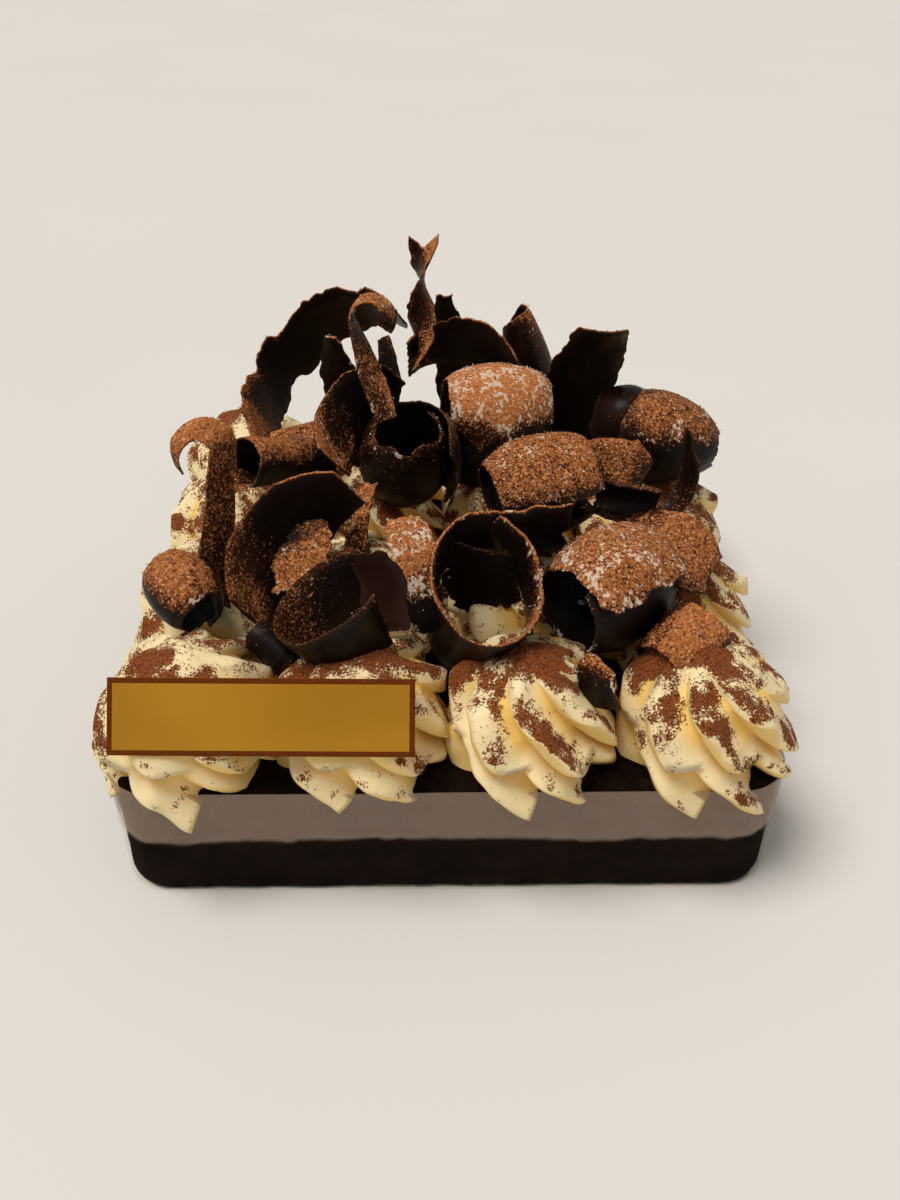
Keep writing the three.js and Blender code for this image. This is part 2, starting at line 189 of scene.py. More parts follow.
# Painted reflection colour for the film's upper band
FILM_PAINTED_REFLECTION = (0.28, 0.15, 0.074, 1)
FILM_CLEAR = (0.97, 0.96, 0.95, 1)
FILM_SHINE = (1, 0.96, 0.92, 1)
GOLD_DEEP = (0.485, 0.236, 0.0195)
# Brighter gold, for patches of painted sheen
GOLD_PAINTED_SHEEN = (0.555, 0.276, 0.0245)
BORDER_DARK = (0.104, 0.022, 0.0024)
BORDER_PALE = (0.144, 0.032, 0.0034)
FLOOR_DARK = (0.7, 0.685, 0.66)
FLOOR_PALE = (0.74, 0.725, 0.7)

# Curls: half thickness, mesh steps, ripples and seeds, and the chips and fine teeth of their broken edges
CURL_HALF = 0.58
LINE_STEPS = 240
END_SHARE = 0.3
ALONG_STEP = 0.55
ACROSS_STEP = 0.75
FEWEST_STEPS = {"along": 24, "across": 8}
BREAKS = ((6, 0, 0.5, 6), (1.4, 1, 0.35, 1.6))
EDGE_SHARE = 0.45
EDGE_REACH = 2.5
RIM_REACH = 1.6
RIPPLE = {"size": 8, "depth": 0.9, "full_width": 14}
CURL_SEEDS = {"first": 1000, "step": 97}
SEED_SHIFTS = {"start": 11, "end": 23, "low": 37, "high": 53, "ripple": 61}
LINES_SHIFT = 7
LINES_STRETCH = (0.045, 1.9, 1)
CURL_DEFAULTS = dict(
    straight=0, wind=1, ends=(1, 1), twist=(0, 0), drift=0, cup=0, flare=0, oval=1,
    sugar=0.2, tone=0, cocoa=1, cling=0, torn=0.35, fork=0,
)

# Each curl is a ribbon. at: middle of its centre line. axis: azimuth and elevation of the ribbon's width.
# heading and turn: the line's first direction and whole bend. straight: share of the line before the bend.
# wind: above 1 keeps the bend for the end. ends: width at start and end over the middle. twist: turn about
# the line at start and end. drift: how far it moves along the axis. cup: hollow across the width. flare:
# growth along the axis. oval: stretch of the line upwards. sugar, cocoa: how much of each lies on it.
# cling: cocoa that sticks to both its faces. tone: redder chocolate. torn: how far its edges are broken.
# fork: depth of the notch in its far end.
CURLS = {
    "left_roll": dict(
        at=(-59.5, -39, 60), axis=(-49, -22), heading=40, length=52, turn=385,
        wind=1.15, width=16, cup=2.4, sugar=0.45, cocoa=0.92,
    ),
    "left_hook": dict(
        at=(-53.4, -30, 76.2), axis=(-80, 5), heading=80, length=64, turn=221,
        straight=0.69, wind=0.75, width=8.5, ends=(1, 0.6), twist=(-100, -15), sugar=0.35,
        cocoa=0.5, torn=0.3, cling=0.46,
    ),
    "left_trough": dict(
        at=(-37.2, -29.7, 66.7), axis=(201, 54), heading=168, length=45, turn=-118,
        width=22, ends=(0.6, 0.55), cocoa=0.9, torn=0.15, sugar=0.1,
    ),
    "left_foot": dict(
        at=(-39, -50, 51.5), axis=(150, 25), heading=0, length=24, turn=400,
        wind=1.2, width=12, cocoa=0.3,
    ),
    "front_cup": dict(
        at=(-25.3, -50, 57), axis=(186, 60), heading=-130, length=56, turn=275,
        width=17, flare=0.2, torn=0.2, cocoa=0.5,
    ),
    "front_flap": dict(
        at=(-14.3, -47.6, 65.9), axis=(-12, 12), heading=50, length=19, turn=50,
        width=12, ends=(0.9, 0.85), tone=1, cocoa=0.15, sugar=0, torn=0.7,
    ),
    "front_flake": dict(
        at=(-33.6, -31.5, 63), axis=(-10, 10), heading=20, length=20, turn=30,
        width=16, ends=(0.8, 0.8), sugar=0.6, torn=1.1, cocoa=1.05,
    ),
    "front_leaf": dict(
        at=(-6.5, -38, 64), axis=(15, 5), heading=185, length=30, turn=85,
        width=11, ends=(0.9, 0.6), sugar=1.2, torn=0.5,
    ),
    "front_ring": dict(
        at=(10.5, -40.5, 62.5), axis=(-84, 62), heading=180, length=84, turn=345,
        straight=0.26, width=22, cup=-2, oval=1.45, sugar=0.7, torn=0.55,
    ),
    "front_inner": dict(
        at=(8.5, -33.8, 60.5), axis=(-10, 5), heading=80, length=24, turn=40,
        width=18, ends=(0.9, 0.8), cocoa=0.4, torn=1.5, sugar=0.1,
    ),
    "front_barrel": dict(
        at=(37.5, -40, 61.5), axis=(38, 4), heading=50, length=92, turn=-385,
        wind=1.15, width=26, cup=3.5, sugar=1.1, torn=0.45, cocoa=0.88,
    ),
    "mid_dome": dict(
        at=(22.5, -12, 72.5), axis=(15, 10), heading=70, length=68, turn=-310,
        wind=1.1, width=25, cup=3, sugar=0.6, torn=0.15, cocoa=0.84,
    ),
    "mid_point": dict(
        at=(43.2, -5.5, 73.8), axis=(90, 55), heading=130, length=20, turn=100,
        width=13, ends=(1, 0.1), cocoa=0.85,
    ),
    "right_ring": dict(
        at=(44, -17.5, 70.2), axis=(-12, -6), heading=-40, length=17.5, turn=225,
        width=17, ends=(0.8, 0.8), torn=0.8, cocoa=0.5,
    ),
    "right_sheet": dict(
        at=(51, -29, 65), axis=(60, 15), heading=50, length=28, turn=-80,
        width=22, ends=(0.7, 0.8), torn=0.5, cocoa=0.85,
    ),
    "right_flake": dict(
        at=(50.5, -53, 57.5), axis=(40, 20), heading=80, length=27, turn=-190,
        width=16, cup=1, torn=0.5,
    ),
    "front_shard": dict(
        at=(31, -66, 55), axis=(-40, 20), heading=100, length=13, turn=-40,
        width=11, ends=(0.9, 0.2), sugar=0.6,
    ),
    "mid_cup": dict(
        at=(-7.5, 9, 69), axis=(-80, 66), heading=60, length=92, turn=430,
        wind=1.15, width=25, cup=4, torn=0.8, cocoa=0.3, cling=0.2, sugar=0.5,
    ),
    "mid_shell": dict(
        at=(14, 25, 73), axis=(8, -4), heading=140, length=68, turn=-270,
        width=28, ends=(0.9, 0.9), cup=4, oval=1.25, sugar=1.4, cocoa=1.45, torn=0.3,
    ),
    "tall_twist": dict(
        at=(-18, 8, 99), axis=(-90, 15), heading=108, length=43, turn=-240,
        straight=0.58, width=7, ends=(0.8, 0.8), twist=(-90, 50), cocoa=0.6, cling=0.3,
        torn=0.25, sugar=0.8,
    ),
    "tall_back": dict(
        at=(-22.6, 7, 81.2), axis=(201, 50), heading=168, length=33, turn=-118,
        width=17, ends=(0.7, 0.45), sugar=0.3, torn=0.2,
    ),
    "left_tube": dict(
        at=(-40.2, 0.2, 71.8), axis=(50, -22), heading=150, length=33, turn=-340,
        wind=1.05, width=28, torn=0.4, cocoa=0.9,
    ),
    "mid_strip": dict(
        at=(-20.5, -19, 65), axis=(-30, 20), heading=100, length=24, turn=-90,
        width=8, ends=(0.6, 0.7), torn=0.6, cocoa=0.6, cling=0.2,
    ),
    "back_arch": dict(
        at=(-37.5, 40.5, 79.5), axis=(-140, 50), heading=170, length=78, turn=195,
        width=20, ends=(0.8, 0.8), oval=1.1, torn=1.0,
    ),
    "back_dark": dict(
        at=(-38, 22, 63), axis=(10, 10), heading=60, length=42, turn=-330,
        wind=1.1, width=15,
    ),
    "back_point": dict(
        at=(-26, 24, 78), axis=(-15, 5), heading=92, length=40, turn=20,
        width=12, ends=(0.9, 0.3), sugar=0.8, cocoa=1.6, torn=0.6,
    ),
    "back_spire": dict(
        at=(-6, 35, 100.2), axis=(-60, 0), heading=88, length=36, turn=-4,
        width=8.5, ends=(1, 0.95), twist=(-250, 75), cup=-1.6, sugar=0.4, tone=0.5, torn=0.5,
        cocoa=0.9, cling=0.3, fork=4,
    ),
    "top_arch": dict(
        at=(6.2, 36, 86), axis=(-95, 66), heading=60, length=38, turn=-115,
        straight=0.12, wind=0.55, width=18.5, ends=(0.7, 0.15), torn=0.8,
    ),
    "back_black": dict(
        at=(2, 60.5, 74), axis=(0, 5), heading=88, length=46, turn=30,
        width=10, ends=(0.9, 0.5),
    ),
    "back_petal": dict(
        at=(27, 53, 71), axis=(-160, 72), heading=0, length=33, turn=300,
        width=44, ends=(0.9, 0.7), cup=2.4, sugar=0.3, tone=0.5,
    ),
    "right_sail": dict(
        at=(37.3, 32, 74), axis=(-5, -2), heading=75, length=64.5, turn=72,
        width=19, ends=(0.8, 0.65), drift=6, cup=-1,
    ),
    "right_ball": dict(
        at=(48, 21, 73), axis=(-30, -10), heading=150, length=56, turn=-350,
        wind=1.1, width=15, cup=4, cocoa=0.3, tone=0.5, sugar=0,
    ),
    "right_dome": dict(
        at=(59.3, 18, 69.8), axis=(-8, -8), heading=140, length=68.5, turn=-340,
        wind=1.05, width=27, cup=5, flare=-0.2, sugar=0.6, cocoa=0.78,
    ),
    "right_strip": dict(
        at=(59.2, -1.5, 66.55), axis=(-80, 12), heading=285, length=33, turn=-120,
        wind=2, width=6.5, ends=(0.6, 0.8), twist=(8, -75), cocoa=0.4, cling=0.1,
    ),
    "tall_side": dict(
        at=(-16.5, 13, 80), axis=(-110, 10), heading=290, length=38, turn=-60,
        width=7, ends=(0.6, 0.8), twist=(30, 60),
    ),
}

# Curls whose names start alike make one piece
CURL_GROUPS = {
    "curls_left": ("left",),
    "curls_front": ("front",),
    "curls_middle": ("mid",),
    "curls_tall": ("tall", "top"),
    "curls_back": ("back",),
    "curls_right": ("right",),
}

# Edges bent by more than this many degrees stay sharp
CREASES = {"curl": 55, "film": 40, "plaque": 30}

# Numbers that mix a cell's place and a seed into a hash
HASH_PLACES = (374761393, 668265263, 974634777)
HASH_SEED = 1442695041
HASH_MIX = 1274126177
HASH_MASK = 0xFFFFFF

TINY = 1e-12


def ease(value, low, high):
    """0 below low, 1 above high and a smooth step between them."""
    x = np.clip((value - low) / (high - low), 0, 1)
    return x * x * (3 - 2 * x)


def hashed(cells, seed):
    """A fixed pseudo-random value from 0 to 1 for each integer cell."""
    n = sum(cells[..., axis] * HASH_PLACES[axis] for axis in range(3)) + seed * HASH_SEED
    n = (n ^ (n >> 13)) * HASH_MIX
    n = n ^ (n >> 16)
    return (n & HASH_MASK) / HASH_MASK


def noise_at(points, size, seed):
    """Smooth noise from 0 to 1 at points, with lumps about size across."""
    scaled = np.asarray(points, float) / size
    cell = np.floor(scaled).astype(np.int64)
    part = scaled - cell
    part = part * part * (3 - 2 * part)
    total = np.zeros(scaled.shape[:-1])
    for corner in itertools.product((0, 1), repeat=3):
        weight = np.ones_like(total)
        for axis, side in enumerate(corner):
            weight *= part[..., axis] if side else 1 - part[..., axis]
        total += weight * hashed(cell + np.array(corner), seed)
    return total


def pits_at(points, kinds, seed=0):
    """Depth of pits at points. A kind has a size, a seed, the noise level where it starts and a depth."""
    return sum(
        np.maximum(noise_at(points, size, seed + own) - start, 0) * depth
        for size, own, start, depth in kinds
    )


def grid_quads(rows, columns, wrap=False):
    """Faces of a grid of points, rows by columns, closed round its columns if wrap."""
    last = columns if wrap else columns - 1
    i, j = np.meshgrid(np.arange(rows - 1), np.arange(last), indexing="ij")
    k = (j + 1) % columns
    corners = [i * columns + j, (i + 1) * columns + j, (i + 1) * columns + k, i * columns + k]
    return np.stack(corners, -1).reshape(-1, 4)


def grid_rim(rows, columns):
    """Points round the edge of a grid, and the one after each."""
    grid = np.arange(rows * columns).reshape(rows, columns)
    loop = np.concatenate([grid[0, :-1], grid[:-1, -1], grid[-1, :0:-1], grid[:0:-1, 0]])
    return loop, np.roll(loop, -1)


def fan_tris(middle, ring):
    """Faces from a middle point to a closed ring of points."""
    return np.stack([np.full(len(ring), middle), np.roll(ring, -1), ring], -1)


def patch(points, quads, tris=(), **attributes):
    """A mesh under construction: points in mm, faces, and values for each point."""
    points = np.asarray(points, float).reshape(-1, 3)
    return {
        "points": points,
        "quads": np.asarray(quads, int).reshape(-1, 4),
        "tris": np.asarray(tris, int).reshape(-1, 3),
        "attributes": {
            key: np.broadcast_to(value, (len(points),)).astype(float)
            for key, value in attributes.items()
        },
    }


def joined(patches):
    """Several patches as one."""
    offsets = np.cumsum([0] + [len(p["points"]) for p in patches])
    keys = patches[0]["attributes"]
    return {
        "points": np.concatenate([p["points"] for p in patches]),
        "quads": np.concatenate([p["quads"] + o for p, o in zip(patches, offsets)]),
        "tris": np.concatenate([p["tris"] + o for p, o in zip(patches, offsets)]),
        "attributes": {key: np.concatenate([p["attributes"][key] for p in patches]) for key in keys},
    }


def normals_of(made):
    """Point normals of a patch, weighted by area."""
    points, total = made["points"], np.zeros_like(made["points"])
    quads, tris = made["quads"], made["tris"]
    for faces, first, second in ((quads, (0, 2), (1, 3)), (tris, (0, 1), (0, 2))):
        a = points[faces[:, first[1]]] - points[faces[:, first[0]]]
        b = points[faces[:, second[1]]] - points[faces[:, second[0]]]
        area = np.cross(a, b)
        for corner in range(faces.shape[1]):
            np.add.at(total, faces[:, corner], area)
    return total / np.maximum(np.linalg.norm(total, axis=1, keepdims=True), TINY)


def make_piece(name, made, materials, nodes=(), sharp=None, face_slots=None):
    """Turns a patch into a Blender object that rides on the cake and stands for these nodes."""
    mesh = bpy.data.meshes.new(name)
    faces = made["quads"].tolist() + made["tris"].tolist()
    mesh.from_pydata((made["points"] * MM).tolist(), [], faces, shade_flat=False)
    for key, value in made["attributes"].items():
        layer = mesh.attributes.new(key, "FLOAT", "POINT")
        layer.data.foreach_set("value", value.astype(np.float32))
    mesh.validate()
    if sharp is not None:
        mesh.set_sharp_from_angle(angle=math.radians(sharp))
    for material in materials:
        mesh.materials.append(material)
    if face_slots is not None:
        mesh.polygons.foreach_set("material_index", np.asarray(face_slots, np.int32))
    piece = bpy.data.objects.new(name, mesh)
    bpy.context.scene.collection.objects.link(piece)
    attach(piece, "root")
    if nodes:
        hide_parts(*nodes)
    return piece


def ragged(places, torn, seed):
    """How far a broken chocolate edge is bitten back at places along it: chips with fine teeth."""
    level = np.zeros_like(places)
    return torn * pits_at(np.stack([places, level, level], -1), BREAKS, seed)


def bend_share(curl, s):
    """How much of a curl's bend is done at s."""
    return np.clip((s - curl["straight"]) / (1 - curl["straight"]), 0, 1) ** curl["wind"]


def curl_direction(curl, s):
    """The planar centre line's direction at s, longer where the line is stretched upwards."""
    angle = np.radians(curl["heading"] + curl["turn"] * bend_share(curl, s))
    return np.stack([np.cos(angle), np.sin(angle) * curl["oval"]], -1)


def curl_line(curl, s):
    """The planar centre line at s from 0 to 1, centred on its mean, and its unit direction."""
    middle = (np.arange(LINE_STEPS) + 0.5) / LINE_STEPS
    steps = curl_direction(curl, middle) * curl["length"] / LINE_STEPS
    points = np.concatenate([np.zeros((1, 2)), np.cumsum(steps, 0)])
    points -= points.mean(0)
    places = np.linspace(0, 1, LINE_STEPS + 1)
    flat = np.stack([np.interp(s, places, points[:, k]) for k in (0, 1)], -1)
    along = curl_direction(curl, s)
    return flat, along / np.linalg.norm(along, axis=-1, keepdims=True)


def ribbon_share(curl, s):
    """Width of the ribbon at s over its width in the middle."""
    start = np.clip(s / END_SHARE, 0, 1)
    end = np.clip((1 - s) / END_SHARE, 0, 1)
    return np.minimum(curl["ends"][0] * (1 - start) + start, curl["ends"][1] * (1 - end) + end)


def curl_surface(curl, s, t):
    """Points of a curl's middle surface: s along the ribbon from 0 to 1, t across from -0.5 to 0.5."""
    azimuth, elevation = np.radians(curl["axis"])
    level = math.cos(elevation)
    across = np.array([level * math.cos(azimuth), level * math.sin(azimuth), math.sin(elevation)])
    up = np.array([0, 0, 1]) - across * across[2]
    up /= np.linalg.norm(up)
    side = np.cross(up, across)
    flat, along = curl_line(curl, s)
    tangent = along[..., :1] * side + along[..., 1:] * up
    twist = np.radians(curl["twist"][0] + (curl["twist"][1] - curl["twist"][0]) * s)[..., None]
    wide = across * np.cos(twist) + np.cross(tangent, across) * np.sin(twist)
    out = np.cross(tangent, wide)
    scale = (1 + 2 * curl["flare"] * t)[..., None]
    width = (t * curl["width"] * ribbon_share(curl, s))[..., None]
    line = (flat[..., :1] * side + flat[..., 1:] * up) * scale
    points = np.array(curl["at"]) + line + wide * width
    points = points + across * curl["drift"] * (s - 0.5)[..., None]
    return points - out * (curl["cup"] * 4 * t * t * np.sign(curl["turn"]))[..., None]


def curl_patch(settings, seed):
    """A thin curl with broken edges, a slight ripple and fine lines round it."""
    curl = {**CURL_DEFAULTS, **settings}
    length, width = curl["length"], curl["width"]
    rows = max(FEWEST_STEPS["along"], round(length / ALONG_STEP)) + 1
    columns = max(FEWEST_STEPS["across"], round(width / ACROSS_STEP)) + 1
    count = rows * columns
    i = np.linspace(0, 1, rows)[:, None]
    j = np.linspace(0, 1, columns)[None, :]

    def bitten(edge, places):
        """How far one of the four edges is bitten back."""
        return ragged(places, curl["torn"], seed + SEED_SHIFTS[edge])

    def twice(values):
        """A value for each point of both faces."""
        return np.tile(np.broadcast_to(values, (rows, columns)).ravel(), 2)

    notch = curl["fork"] * (1 - np.abs(2 * j - 1))
    start = bitten("start", j * width) / length
    end = 1 - (bitten("end", j * width) + notch) / length
    breadth = width * ribbon_share(curl, i)
    low = bitten("low", i * length) / breadth - 0.5
    high = 0.5 - bitten("high", i * length) / breadth
    s = start + (end - start) * i
    t = low + (high - low) * j
    middle = curl_surface(curl, s, t)
    normal = np.cross(np.gradient(middle, axis=0), np.gradient(middle, axis=1))
    normal /= np.linalg.norm(normal, axis=-1, keepdims=True)
    waves = noise_at(middle, RIPPLE["size"], seed + SEED_SHIFTS["ripple"]) - 0.5
    ripple = waves * RIPPLE["depth"] * min(1, width / RIPPLE["full_width"])
    middle = middle + normal * ripple[..., None]
    rim = np.minimum(np.minimum(s - start, end - s) * length, np.minimum(t - low, high - t) * breadth)
    half = CURL_HALF * (EDGE_SHARE + (1 - EDGE_SHARE) * ease(rim, 0, EDGE_REACH))[..., None]
    faces = [middle + normal * half, middle - normal * half]
    upper = grid_quads(rows, columns)
    lower = upper[:, ::-1] + count
    loop, ahead = grid_rim(rows, columns)
    sides = np.stack([loop, ahead, ahead + count, loop + count], -1)
    return patch(
        np.concatenate([face.reshape(-1, 3) for face in faces]),
        np.concatenate([upper, lower, sides]),
        along=twice(s * length + seed * LINES_SHIFT),
        across=twice(t * width),
        rim=twice(1 - ease(rim, 0, RIM_REACH)),
        **{key: curl[key] for key in ("sugar", "tone", "cocoa", "cling")},
        dust=0,
    )


def plaque_axes():
    """The plaque's middle and its own width, depth and height directions."""
    lean = Matrix.Rotation(math.radians(-PLAQUE_LEAN), 3, "X")
    turn = Matrix.Rotation(math.radians(PLAQUE_TURN), 3, "Z") @ lean
    return np.array(PLAQUE_AT, float), np.array(turn)


def behind_plaque(points):
    """Cream that the plaque presses back."""
    at, turn = plaque_axes()
    local = (points - at) @ turn
    half = np.array(PLAQUE_SIZE) / 2
    back = half[1] + PLAQUE_GAP
    inside = np.abs(local[:, 0]) < half[0] + PLAQUE_MARGIN
    inside &= np.abs(local[:, 2]) < half[2] + PLAQUE_MARGIN
    inside &= (local[:, 1] > -PLAQUE_PRESS) & (local[:, 1] < back)
    local[inside, 1] = back
    return local @ turn.T + at


def held(offset, limit):
    """Offset that flattens softly against a limit."""
    over = np.maximum(offset - (limit - PRESS_SOFT), 0)
    return np.where(over > 0, limit - PRESS_SOFT + PRESS_SOFT * np.tanh(over / PRESS_SOFT), offset)


def pressed(offset, place):
    """A rosette's own x or y, flattened where it meets a neighbour in its row or column."""
    reach = (ROSETTE_PITCH - ROSETTE_GAP) / 2
    if place > 0:
        offset = -held(-offset, reach)
    if place < ROSETTES_A_SIDE - 1:
        offset = held(offset, reach)
    return offset


def lumpy(points, heart, share):
    """Points that soft lumps move away from a rosette's heart, or towards it."""
    lumps = sum((noise_at(points, size, seed) - 0.5) * depth for size, seed, depth in LUMPS)
    away = points - heart
    away /= np.linalg.norm(away, axis=-1, keepdims=True)
    return points + away * (lumps * share)[..., None]


def ridge_wave(phase):
    """Height of a ridge from one crest, at phase 0, to the next: a scoop, then a full round lobe."""
    scoop = np.clip(1 - phase / VALLEY_AT, 0, 1) ** SCOOP_SHARPNESS
    swell = np.clip((phase - VALLEY_AT) / (1 - VALLEY_AT), 0, 1)
    return np.maximum(scoop, np.sin(np.pi / 2 * swell) ** LOBE_SHARPNESS)


def rosette_patch(row, column):
    """One piped rosette: twisted ridges in two ruffled tiers, with tips that droop over the edge."""
    draw = np.random.default_rng(ROSETTE_SEEDS["first"] + ROSETTE_SEEDS["row"] * row + column)
    last = ROSETTES_A_SIDE - 1
    x, y = ((k - last / 2) * ROSETTE_PITCH for k in (column, row))
    inner = row % last != 0 and column % last != 0
    foot = SPONGE_HEIGHT - ROSETTE_HANG
    top = SPONGE_HEIGHT + FILM_GAP + ROSETTE_HEIGHT + (INNER_EXTRA if inner else 0)
    spin = ROSETTE_SPIN["row"] * row + ROSETTE_SPIN["column"] * column
    around = ROSETTE_RIDGES * POINTS_A_RIDGE
    up = (np.linspace(0, 1, ROSETTE_RINGS) ** RING_SPACING)[:, None]
    ridge = np.arange(around) // POINTS_A_RIDGE
    phase = (np.arange(around) % POINTS_A_RIDGE / POINTS_A_RIDGE)[None, :]
    full = 2 * np.pi * np.arange(around)[None, :] / around
    wave = ridge_wave(phase)

    def own(span, unit=1):
        """A value drawn for each ridge, blended from ridge to ridge."""
        values = draw.uniform(*span, ROSETTE_RIDGES) * unit
        ahead = values[(ridge + 1) % ROSETTE_RIDGES]
        return (values[ridge] * (1 - phase[0]) + ahead * phase[0])[None, :]

    swing = draw.uniform(0, 2 * np.pi, 2)
    split = TIER_AT + TIER_SWING[0] * np.sin(full + swing[0]) + TIER_SWING[1] * np.sin(3 * full + swing[1])
    above = ease(up - split, *TIER_LIP)
    tuck = 1 - TIER_TUCK * ease(up / split, TIER_TUCK_FROM, 1) * (1 - above) + TIER_FLARE * above
    outer = np.interp(up, PROFILE_UP, PROFILE_CREST) * tuck
    deep = np.interp(up, PROFILE_UP, PROFILE_VALLEY) * tuck
    deep = outer - (outer - deep) * own(VALLEY_DEPTHS)
    gain = own(CREST_GAINS)
    radius = ROSETTE_RADIUS * (deep + (outer * gain - deep) * wave)
    shift = own(RIDGE_SHIFTS, math.radians(1))
    turn = np.radians(spin + ROSETTE_TWIST * up + TIER_SHIFT * above) + full + shift * (1 - up)
    bend = draw.uniform(-1, 1, 2) * TOP_LEAN
    px = pressed(radius * np.cos(turn) + bend[0] * up ** 3, column)
    py = pressed(radius * np.sin(turn) + bend[1] * up ** 3, row)
    rise = own(TIP_RISES)
    valley = SPONGE_HEIGHT + VALLEY_LIFT
    tips = foot + rise + (valley - foot - rise) * (1 - wave ** TIP_SHARPNESS)
    lip = ease(split + LIP_REACH - up, 0, LIP_REACH)
    droop = CREST_DROOP * wave * np.sin(np.pi * up) + LIP_DROOP * wave * above * lip
    pz = tips + (top - tips) * up - droop
    heart = np.array([x, y, SPONGE_HEIGHT + HEART_HEIGHT])
    points = lumpy(np.stack([x + px, y + py, pz], -1), heart, 1 - up ** LUMPS_FADE)
    below = np.array([x, y, points[0, :, 2].mean() + UNDER_RISE])
    under = points[0] * (1 - UNDER_SHARE) + below * UNDER_SHARE
    points = behind_plaque(np.concatenate([under[None], points]).reshape(-1, 3))
    fan = fan_tris(len(points), np.arange(around))
    points = np.concatenate([points, [[x, y, SPONGE_HEIGHT - ROSETTE_SINK]]])
    quads = grid_quads(ROSETTE_RINGS + 1, around, wrap=True)[:, ::-1]
    # Valleys between ridges: given painted shade in the cream's colour, and a little less cocoa
    scoop = np.clip(1 - wave * SCOOP_GAIN, 0, 1) * (1 - ease(up, *SCOOP_FADE))
    scoop = np.concatenate([scoop[:1], scoop]).ravel()
    return patch(points, quads, fan, scoop=np.append(scoop, 0), dust=0)


def rounded_square(half, corner, count):
    """Points evenly along a rounded square, with their outward directions."""
    straight = half - corner
    quarter = math.pi * corner / 2
    total = 4 * (2 * straight + quarter)
    points, outs = [], []
    for place in np.arange(count) * total / count:
        side, rest = divmod(place, total / 4)
        if rest < 2 * straight:
            local, out = (rest - straight, -half), (0, -1)
        else:
            a = (rest - 2 * straight) / corner
            local = (straight + corner * math.sin(a), -straight - corner * math.cos(a))
            out = (math.sin(a), -math.cos(a))
        turn = Matrix.Rotation(side * math.pi / 2, 2)
        points.append(turn @ Vector(local))
        outs.append(turn @ Vector(out))
    return np.array(points), np.array(outs)


def sponge_profile():
    """Inset and height of the sponge's rings, from the middle of its underside to that of its top."""
    edge, high = SPONGE_EDGE_ROUND, SPONGE_HEIGHT - SPONGE_EDGE_ROUND
    middle = SPONGE_SIDE / 2 - SPONGE_MIDDLE
    bend = np.linspace(0, math.pi / 2, SPONGE_RINGS["edge"])
    under = np.linspace(middle, edge, SPONGE_RINGS["underside"], endpoint=False)
    side = np.linspace(edge, high, SPONGE_RINGS["side"])[1:-1]
    over = np.linspace(edge, middle, SPONGE_RINGS["top"])[1:]
    return [
        *((inset, 0.0) for inset in under),
        *((edge * (1 - math.sin(a)), edge * (1 - math.cos(a))) for a in bend),
        *((0.0, z) for z in side),
        *((edge * (1 - math.cos(a)), high + edge * math.sin(a)) for a in bend),
        *((inset, SPONGE_HEIGHT) for inset in over),
    ]


def sponge_patch():
    """The sponge block with a crumbly skin."""
    count, half = SPONGE_POINTS_AROUND, SPONGE_SIDE / 2
    profile = sponge_profile()
    rings, outs = [], []
    for inset, z in profile:
        size = half - inset
        flat, out = rounded_square(size, SPONGE_CORNER * size / half, count)
        rings.append(np.column_stack([flat, np.full(count, z)]))
        lift = (z > SPONGE_HEIGHT - SPONGE_EDGE_ROUND) * min(1, inset / SPONGE_EDGE_ROUND)
        outs.append(np.column_stack([out * (1 - lift), np.full(count, lift)]))
    points, outs = np.concatenate(rings), np.concatenate(outs)
    pits = pits_at(points, SPONGE_PITS) * (points[:, 2] > SPONGE_FOOT)
    points = points - outs * pits[:, None]
    top, bottom = len(points), len(points) + 1
    points = np.concatenate([points, [[0, 0, SPONGE_HEIGHT]], [[0, 0, 0]]])
    ring = np.arange(count)
    over = ring + (len(profile) - 1) * count
    tris = np.concatenate([fan_tris(bottom, ring), fan_tris(top, over)[:, (0, 2, 1)]])
    return patch(points, grid_quads(len(profile), count, wrap=True)[:, ::-1], tris, dust=0)


def film_wall(offset):
    """Points of one face of the film, level by level, at an offset from the sponge."""
    flat, out = rounded_square(SPONGE_SIDE / 2 + offset, SPONGE_CORNER + offset, FILM_POINTS_AROUND)
    levels = []
    for up in np.linspace(0, 1, FILM_LEVELS):
        z = FILM_LIFT + (SPONGE_HEIGHT - FILM_LIFT) * up
        spot = np.column_stack([flat, np.full(FILM_POINTS_AROUND, z)])
        stretched = spot * np.array(FILM_WAVE["stretch"])
        wave = noise_at(stretched, FILM_WAVE["size"], FILM_WAVE["seed"]) * FILM_WAVE["depth"] * up
        rise = noise_at(spot, FILM_RISE["size"], FILM_RISE["seed"]) - 0.5
        rise = rise * FILM_RISE["depth"] * up ** 3
        levels.append(np.column_stack([flat + out * wave[:, None], z + rise]))
    return np.concatenate(levels)


def film_patch():
    """The clear band, with the slight waves of a sheet bent round the block."""
    count = FILM_POINTS_AROUND
    size = FILM_LEVELS * count
    points = np.concatenate([film_wall(FILM_GAP + FILM_THICKNESS), film_wall(FILM_GAP)])
    faces = grid_quads(FILM_LEVELS, count, wrap=True)
    ring = np.arange(count)
    ahead = np.roll(ring, -1)
    top = (FILM_LEVELS - 1) * count
    lips = [
        np.stack([top + ring, top + ahead, size + top + ahead, size + top + ring], -1),
        np.stack([ring, size + ring, size + ahead, ahead], -1),
    ]
    return patch(points, np.concatenate([faces[:, ::-1], faces + size, *lips]))


